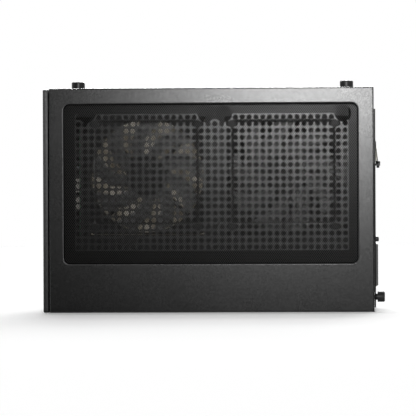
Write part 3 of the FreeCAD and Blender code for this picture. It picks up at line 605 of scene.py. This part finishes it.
def makeFanWall(size):
    low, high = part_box("fan_wall")
    pitch = size["pitch"]
    firstX = size["middle"] - pitch * (size["columns"] - 1) / 2
    lowZ = size["lowestRow"] - pitch / 2
    leftX = firstX - pitch / 2
    centre = Vector((firstX, size["faceY"], size["lowestRow"]))
    deselectAll()
    bpy.ops.mesh.primitive_plane_add(size=pitch, location=centre, rotation=(math.pi / 2, 0, 0))
    wall = bpy.context.object
    wall.name = "fanWall"
    settle(wall)
    pickAll(wall)
    squares = size["cellSquares"]
    bpy.ops.mesh.subdivide(number_cuts=squares - 1)
    inner = pitch * (0.5 - 1 / squares) + hair  # all but the outer squares become the hole

    def away(co):
        return max(abs(co.x - centre.x), abs(co.z - centre.z))

    pick(wall, "FACE", lambda middle, normal: away(middle) < inner)
    bpy.ops.mesh.delete(type="FACE")
    pick(wall, "VERT", lambda co: away(co) < inner)
    bpy.ops.transform.tosphere(value=1)
    done()
    ring = [(v.co - centre).length for v in wall.data.vertices if v.select]
    factor = size["holeRadius"] * len(ring) / sum(ring)
    bpy.ops.object.mode_set(mode="EDIT")
    bpy.ops.transform.resize(value=(factor, factor, factor), center_override=centre)
    done()
    repeat(wall, size["columns"], (pitch, 0, 0))
    repeat(wall, size["rows"], (0, 0, pitch))
    for fan in size["fans"]:  # shallow square seats for the fans
        pick(wall, "VERT", lambda co: abs(co.x - fan) < size["recessHalf"] - hair
             and size["recessZ"][0] + hair < co.z < size["recessZ"][1] - hair)
        bpy.ops.transform.translate(value=(0, size["recess"], 0))
        done()
    rightX = leftX + pitch * size["columns"]
    topZ = lowZ + pitch * size["rows"]
    pick(wall, "VERT", lambda co: co.x < leftX + hair)  # plain border on all four sides
    bpy.ops.mesh.extrude_edges_move(TRANSFORM_OT_translate={"value": (low.x - leftX, 0, 0)})
    pick(wall, "VERT", lambda co: co.x > rightX - hair)
    bpy.ops.mesh.extrude_edges_move(TRANSFORM_OT_translate={"value": (high.x - rightX, 0, 0)})
    pick(wall, "VERT", lambda co: co.z < lowZ + hair)
    bpy.ops.mesh.extrude_edges_move(TRANSFORM_OT_translate={"value": (0, 0, low.z - lowZ)})
    pick(wall, "VERT", lambda co: co.z > topZ - hair)
    bpy.ops.mesh.extrude_edges_move(TRANSFORM_OT_translate={"value": (0, 0, high.z - topZ)})
    foldDepth = high.y - size["faceY"] - size["sheet"]
    for end in (low.x, high.x):  # folded ends
        pick(wall, "VERT", lambda co: abs(co.x - end) < hair)
        bpy.ops.mesh.extrude_edges_move(TRANSFORM_OT_translate={"value": (0, foldDepth, 0)})
    done()
    applyModifier(wall, "SOLIDIFY", thickness=size["sheet"], offset=-1)
    awayX, awayZ = size["lobeAway"]  # cut-outs over the fans' upper corners, and the panel's stud holes
    rounds = [(fan + side * awayX, size["fanZ"] + awayZ, size["lobeRadius"])
              for fan in size["fans"] for side in (-1, 1)]
    rounds += [(x, z, size["studHole"]) for x in size["studX"] for z in size["studZ"]]
    startY, endY = size["cutterY"]
    cutters = [addRod("roundCutter", radius, (x, startY, z), (x, endY, z), size["cutterSides"])
               for x, z, radius in rounds]
    cutAway(wall, join(cutters))
    smooth(wall)
    wallCoat = powderCoat("fanWallCoat", level=0.006, rough=0.25, specular=0.24, special=matteBorder)
    dress(wall, wallCoat, "chassis", "chassis_coat", "fan_wall")
    print("fan wall", len(wall.data.polygons), "faces")


makeFanWall(fanWallSize)


# Black sheet behind the wall, round the fans: a dark sheet put in as painted shade, so the holes outside the
# fans stay dark

shadeSheetSize = {
    "behindFace": 0.0012,
    "thick": 0.0008,
    "rim": 0.0003,
    "lowZ": 0.062,
    "highZ": 0.2125,
    "alongX": (-0.142, 0.1376),
}


def makeShadeSheet(size):
    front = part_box("fan_wall")[0].y + size["behindFace"]
    back = front + size["thick"]
    startX, endX = size["alongX"]
    frontLow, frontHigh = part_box("front_fan_frame")
    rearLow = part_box("rear_fan_frame")[0]
    rim = size["rim"]
    shadeSheet = join([
        addBlock("wallShadeSheet", (startX, front, size["lowZ"]), (endX, back, frontLow.z - rim)),
        addBlock("shadeSheetPost", (frontHigh.x + rim, front, frontLow.z - rim),
                 (rearLow.x - rim, back, frontHigh.z + rim)),
        addBlock("shadeSheetHead", (startX, front, frontHigh.z + rim), (endX, back, size["highZ"])),
    ])
    # near-black sheet standing in for the shade inside the case
    cloth = satinPlastic("blackShadeSheet", level=0.006, rough=0.3, fineness=1400, bump=0.1, specular=0.07)
    dress(shadeSheet, cloth, "chassis", "chassis_coat")
    print("shadeSheet", len(shadeSheet.data.polygons), "faces")


makeShadeSheet(shadeSheetSize)


# Fine mesh of the dust filters

filterSize = {
    "stepX": 0.00208,
    "stepZ": 0.00149,
    "nearWire": 0.00046,
    "farWire": 0.00132,
    "wireChamfer": 0.3,
    "overrun": 0.75,
    "spareWires": 2,
}


def makeNet(size, name, wide, material, body, replaced):
    low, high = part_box(replaced)
    lean = math.atan2(size["stepX"] / 2, size["stepZ"])
    tall = high.z - low.z
    reach = tall * math.tan(lean)
    count = int((high.x - low.x + reach) / size["stepX"]) + size["spareWires"]
    half = (high.y - low.y) / 2
    middle = (low.z + high.z) / 2
    length = size["overrun"] * tall / math.cos(lean)  # longer than needed, trimmed below
    first = low.x - reach / 2
    families = []
    for side, y in ((1, low.y), (-1, low.y + half)):
        wire = addBlock("netWire", (first - wide / 2, y, middle - length),
                        (first + wide / 2, y + half, middle + length))
        pick(wire, "EDGE", lambda a, b: abs(a.z - b.z) > length)
        bpy.ops.mesh.bevel(offset=half * size["wireChamfer"], segments=1)
        bpy.ops.mesh.select_all(action="SELECT")
        bpy.ops.transform.rotate(value=side * lean, orient_axis="Y", center_override=(first, y, middle))
        done()
        repeat(wire, count, (size["stepX"], 0, 0))
        for point, way in ((low, (-1, 0, 0)), (low, (0, 0, -1)), (high, (1, 0, 0)), (high, (0, 0, 1))):
            pickAll(wire)
            bpy.ops.mesh.bisect(plane_co=point, plane_no=way, use_fill=True, clear_outer=True)
            done()
        families.append(wire)
    net = join(families)
    net.name = name
    dress(net, material, body, "filter_plastic", replaced)
    print(name, len(net.data.polygons), "faces")


makeNet(filterSize, "nearNet", filterSize["nearWire"], finishes["filter_plastic"],
        "near_side", "near_filter_mesh")
makeNet(filterSize, "farNet", filterSize["farWire"], filterNet("closeNet", through=0.5),
        "far_side", "far_filter_mesh")


# Black ring in the window's edge, between panel and net: a painted shadow standing in for the shade the
# window's edge casts on the net

shadowRingSize = {
    "alongX": (-0.1531, 0.1472),
    "alongZ": (0.0497, 0.213),
    "corner": 0.0066,
    "cornerSteps": 10,
    "thick": 0.0003,
    "wide": 0.0009,
}


def makeShadowRing(size, name, faceY, body):
    (startX, endX), (startZ, endZ) = size["alongX"], size["alongZ"]
    shadowRing = addRing(name, (startX, faceY, startZ), (endX, faceY + size["thick"], endZ), 1, size)
    # near-black and nearly without shine: painted shadow
    shadowBlack = satinPlastic(name + "PaintedShadow", level=0.003, rough=0.7, fineness=900, bump=0.05, specular=0.02)
    dress(shadowRing, shadowBlack, body, "filter_plastic")
    print(name, len(shadowRing.data.polygons), "faces")


makeShadowRing(shadowRingSize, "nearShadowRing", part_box("near_filter_mesh")[0].y - shadowRingSize["thick"], "near_side")
makeShadowRing(shadowRingSize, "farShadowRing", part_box("far_filter_mesh")[1].y, "far_side")


# Rim on the bezel's back that fills its rounded rear edge

rimSize = {
    "thick": 0.00185,
    "overlap": 0.0012,
    "inset": 0.00002,
    "wide": 0.004,
    "corner": 0.0016,
    "cornerSteps": 6,
}


def makeBezelRim(size):
    low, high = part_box("front_bezel")
    inset = size["inset"]
    startX = high.x - size["overlap"]
    rim = addRing("bezelRim", (startX, low.y + inset, low.z + inset),
                  (startX + size["thick"], high.y - inset, high.z - inset), 0, size)
    coat = powderCoat("bezelRimCoat", level=0.01, rough=0.3, specular=0.33)
    dress(rim, coat, "bezel", "bezel_anodised")
    print("bezel rim", len(rim.data.polygons), "faces")


makeBezelRim(rimSize)


# Cheeks that close the ends of the slot hood

hoodSize = {
    "sheet": 0.0008,
    "topDepth": 0.0004,
}


def makeHoodCheeks(size):
    low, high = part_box("slot_hood")
    cheeks = []
    for y in (low.y, high.y - size["sheet"]):
        cheek = addBlock("hoodCheek", (low.x, y, low.z), (high.x, y + size["sheet"], high.z))
        pick(cheek, "VERT", lambda co: co.x > low.x + hair and co.z > high.z - hair)
        bpy.ops.transform.translate(value=(low.x + size["topDepth"] - high.x, 0, 0))
        done()
        cheeks.append(cheek)
    pair = join(cheeks)
    dress(pair, finishes["bare_steel"], "tray", "bare_steel")
    print("hood cheeks", len(pair.data.polygons), "faces")


makeHoodCheeks(hoodSize)


# Knurled thumbscrew of the tray

thumbSize = {
    "sides": 48,
    "headLength": 0.0075,
    "neckRadius": 0.0032,
    "neckLength": 0.0016,
    "neckSides": 32,
    "shankRadius": 0.0017,
    "shankSides": 24,
    "groove": 0.00025,
    "chamfer": 0.0008,
    "slotWide": 0.0012,
    "slotDeep": 0.0012,
    "slotSpare": 0.001,
}


def makeThumbscrew(size):
    low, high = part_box("tray_thumbscrews")
    y, z = (low.y + high.y) / 2, (low.z + high.z) / 2
    radius = (high.y - low.y) / 2
    headX = high.x - size["headLength"]
    neckX = headX - size["neckLength"]
    head = addRod("thumbscrew", radius, (headX, y, z), (high.x, y, z), size["sides"])
    pick(head, "EDGE", lambda a, b: min(a.x, b.x) > high.x - hair)
    bpy.ops.mesh.bevel(offset=size["chamfer"], segments=1)
    done()
    step = 2 * math.pi / size["sides"]

    def onGroove(centre, normal):  # every other face round the head
        turn = math.atan2(centre.z - z, centre.y - y)
        return abs(normal.x) < edgeOn and math.floor(turn / step) % 2 == 0

    pick(head, "FACE", onGroove)
    bpy.ops.mesh.extrude_faces_move(TRANSFORM_OT_shrink_fatten={"value": -size["groove"]})
    done()
    half, spare = size["slotWide"] / 2, size["slotSpare"]
    cutAway(head, addBlock("slotCutter", (high.x - size["slotDeep"], y - half, z - radius - spare),
                           (high.x + spare, y + half, z + radius + spare)))
    neck = addRod("neck", size["neckRadius"], (neckX, y, z), (headX, y, z), size["neckSides"])
    shank = addRod("shank", size["shankRadius"], (low.x, y, z), (neckX, y, z), size["shankSides"])
    screw = join([head, neck, shank])
    smooth(screw)
    dress(screw, finishes["black_screw"], "tray", "black_screw", "tray_thumbscrews")
    print("thumbscrew", len(screw.data.polygons), "faces")


makeThumbscrew(thumbSize)


# Floor, light and background

stageSize = {
    "floor": 60.0,
    "floorTone": 0.86,
    "floorGlow": 0.2,
    "ambient": 0.1,
    "suns": ((20, 30, 0.82), (55, 25, 1.58), (72, 16, 3.2)),  # tilt, spread, strength
    "boxPlace": (0.065, -1.718, 0.366),
    "boxAim": (0.11, -0.118, 0.29),
    "boxSide": 0.22,
    "boxSpread": 36,
    "boxPower": 1.36,
    "sidePlace": (1.5, -1.1, 0.5),
    "sideAim": (0, 0, 0.12),
    "sideWide": 0.35,
    "sideTall": 0.9,
    "sideSpread": 120,
    "sidePower": 1.8,
    "flagPlace": (0, -7.0, 4.0),
    "flagWide": 24.0,
    "flagTall": 8.0,
}


def seenDirectly(tree):
    # one for rays from the camera, off gloss or through glass
    path = tree.nodes.new("ShaderNodeLightPath")
    share = path.outputs["Is Camera Ray"]
    for other in ("Is Glossy Ray", "Is Transmission Ray"):
        either = tree.nodes.new("ShaderNodeMath")
        either.operation = "MAXIMUM"
        tree.links.new(share, either.inputs[0])
        tree.links.new(path.outputs[other], either.inputs[1])
        share = either.outputs[0]
    return share


def addLamp(name, place, aim, wide, tall, power, spread):
    data = bpy.data.lights.new(name, "AREA")
    data.shape = "RECTANGLE"
    data.size = wide
    data.size_y = tall
    data.energy = power
    data.spread = math.radians(spread)
    lamp = bpy.data.objects.new(name, data)
    lamp.location = place
    lamp.rotation_euler = (Vector(aim) - Vector(place)).to_track_quat("-Z", "Y").to_euler()
    lamp.visible_camera = False
    scene.collection.objects.link(lamp)


def makeFloor(size):
    deselectAll()
    bpy.ops.mesh.primitive_plane_add(size=size["floor"], location=(0, 0, 0))
    floor = bpy.context.object
    floor.name = "floor"
    settle(floor)
    paper = bpy.data.materials.new("paleFloor")
    paper.use_nodes = True
    tree = paper.node_tree
    tree.nodes.remove(tree.nodes["Principled BSDF"])
    diffuse = tree.nodes.new("ShaderNodeBsdfDiffuse")
    diffuse.inputs["Color"].default_value = (*grey(size["floorTone"]), 1)
    glow = tree.nodes.new("ShaderNodeEmission")
    tree.links.new(seenDirectly(tree), glow.inputs["Strength"])
    glow.inputs["Color"].default_value = (*grey(size["floorGlow"]), 1)
    both = tree.nodes.new("ShaderNodeAddShader")
    tree.links.new(diffuse.outputs[0], both.inputs[0])
    tree.links.new(glow.outputs[0], both.inputs[1])
    tree.links.new(both.outputs[0], tree.nodes["Material Output"].inputs["Surface"])
    floor.data.materials.append(paper)


def makeFlag(size):
    # black flag that keeps the front of the studio dark
    deselectAll()
    bpy.ops.mesh.primitive_plane_add(size=1, location=size["flagPlace"], rotation=(math.pi / 2, 0, 0))
    flag = bpy.context.object
    flag.name = "flag"
    flag.scale = (size["flagWide"], size["flagTall"], 1)
    settle(flag)
    cloth = bpy.data.materials.new("blackCloth")
    cloth.use_nodes = True
    shader = cloth.node_tree.nodes["Principled BSDF"]
    shader.inputs["Base Color"].default_value = (0, 0, 0, 1)
    shader.inputs["Specular IOR Level"].default_value = 0
    flag.data.materials.append(cloth)
    flag.visible_camera = False


def makeLight(size):
    world = bpy.data.worlds.new("studio")
    scene.world = world
    world.use_nodes = True
    tree = world.node_tree
    background = tree.nodes["Background"]
    background.inputs["Color"].default_value = (1, 1, 1, 1)
    level = tree.nodes.new("ShaderNodeMapRange")
    tree.links.new(seenDirectly(tree), level.inputs["Value"])
    level.inputs["To Min"].default_value = size["ambient"]
    level.inputs["To Max"].default_value = 1.0
    tree.links.new(level.outputs["Result"], background.inputs["Strength"])
    for tilt, spread, strength in size["suns"]:  # a bank of light above and behind
        data = bpy.data.lights.new("bank", "SUN")
        data.energy = strength
        data.angle = math.radians(spread)
        bank = bpy.data.objects.new("bank", data)
        bank.rotation_euler = (math.radians(-tilt), 0, 0)
        scene.collection.objects.link(bank)
    addLamp("softBox", size["boxPlace"], size["boxAim"], size["boxSide"], size["boxSide"],
            size["boxPower"], size["boxSpread"])
    addLamp("sideStrip", size["sidePlace"], size["sideAim"], size["sideWide"], size["sideTall"],
            size["sidePower"], size["sideSpread"])


makeFloor(stageSize)
makeLight(stageSize)
makeFlag(stageSize)
print("stage lit")
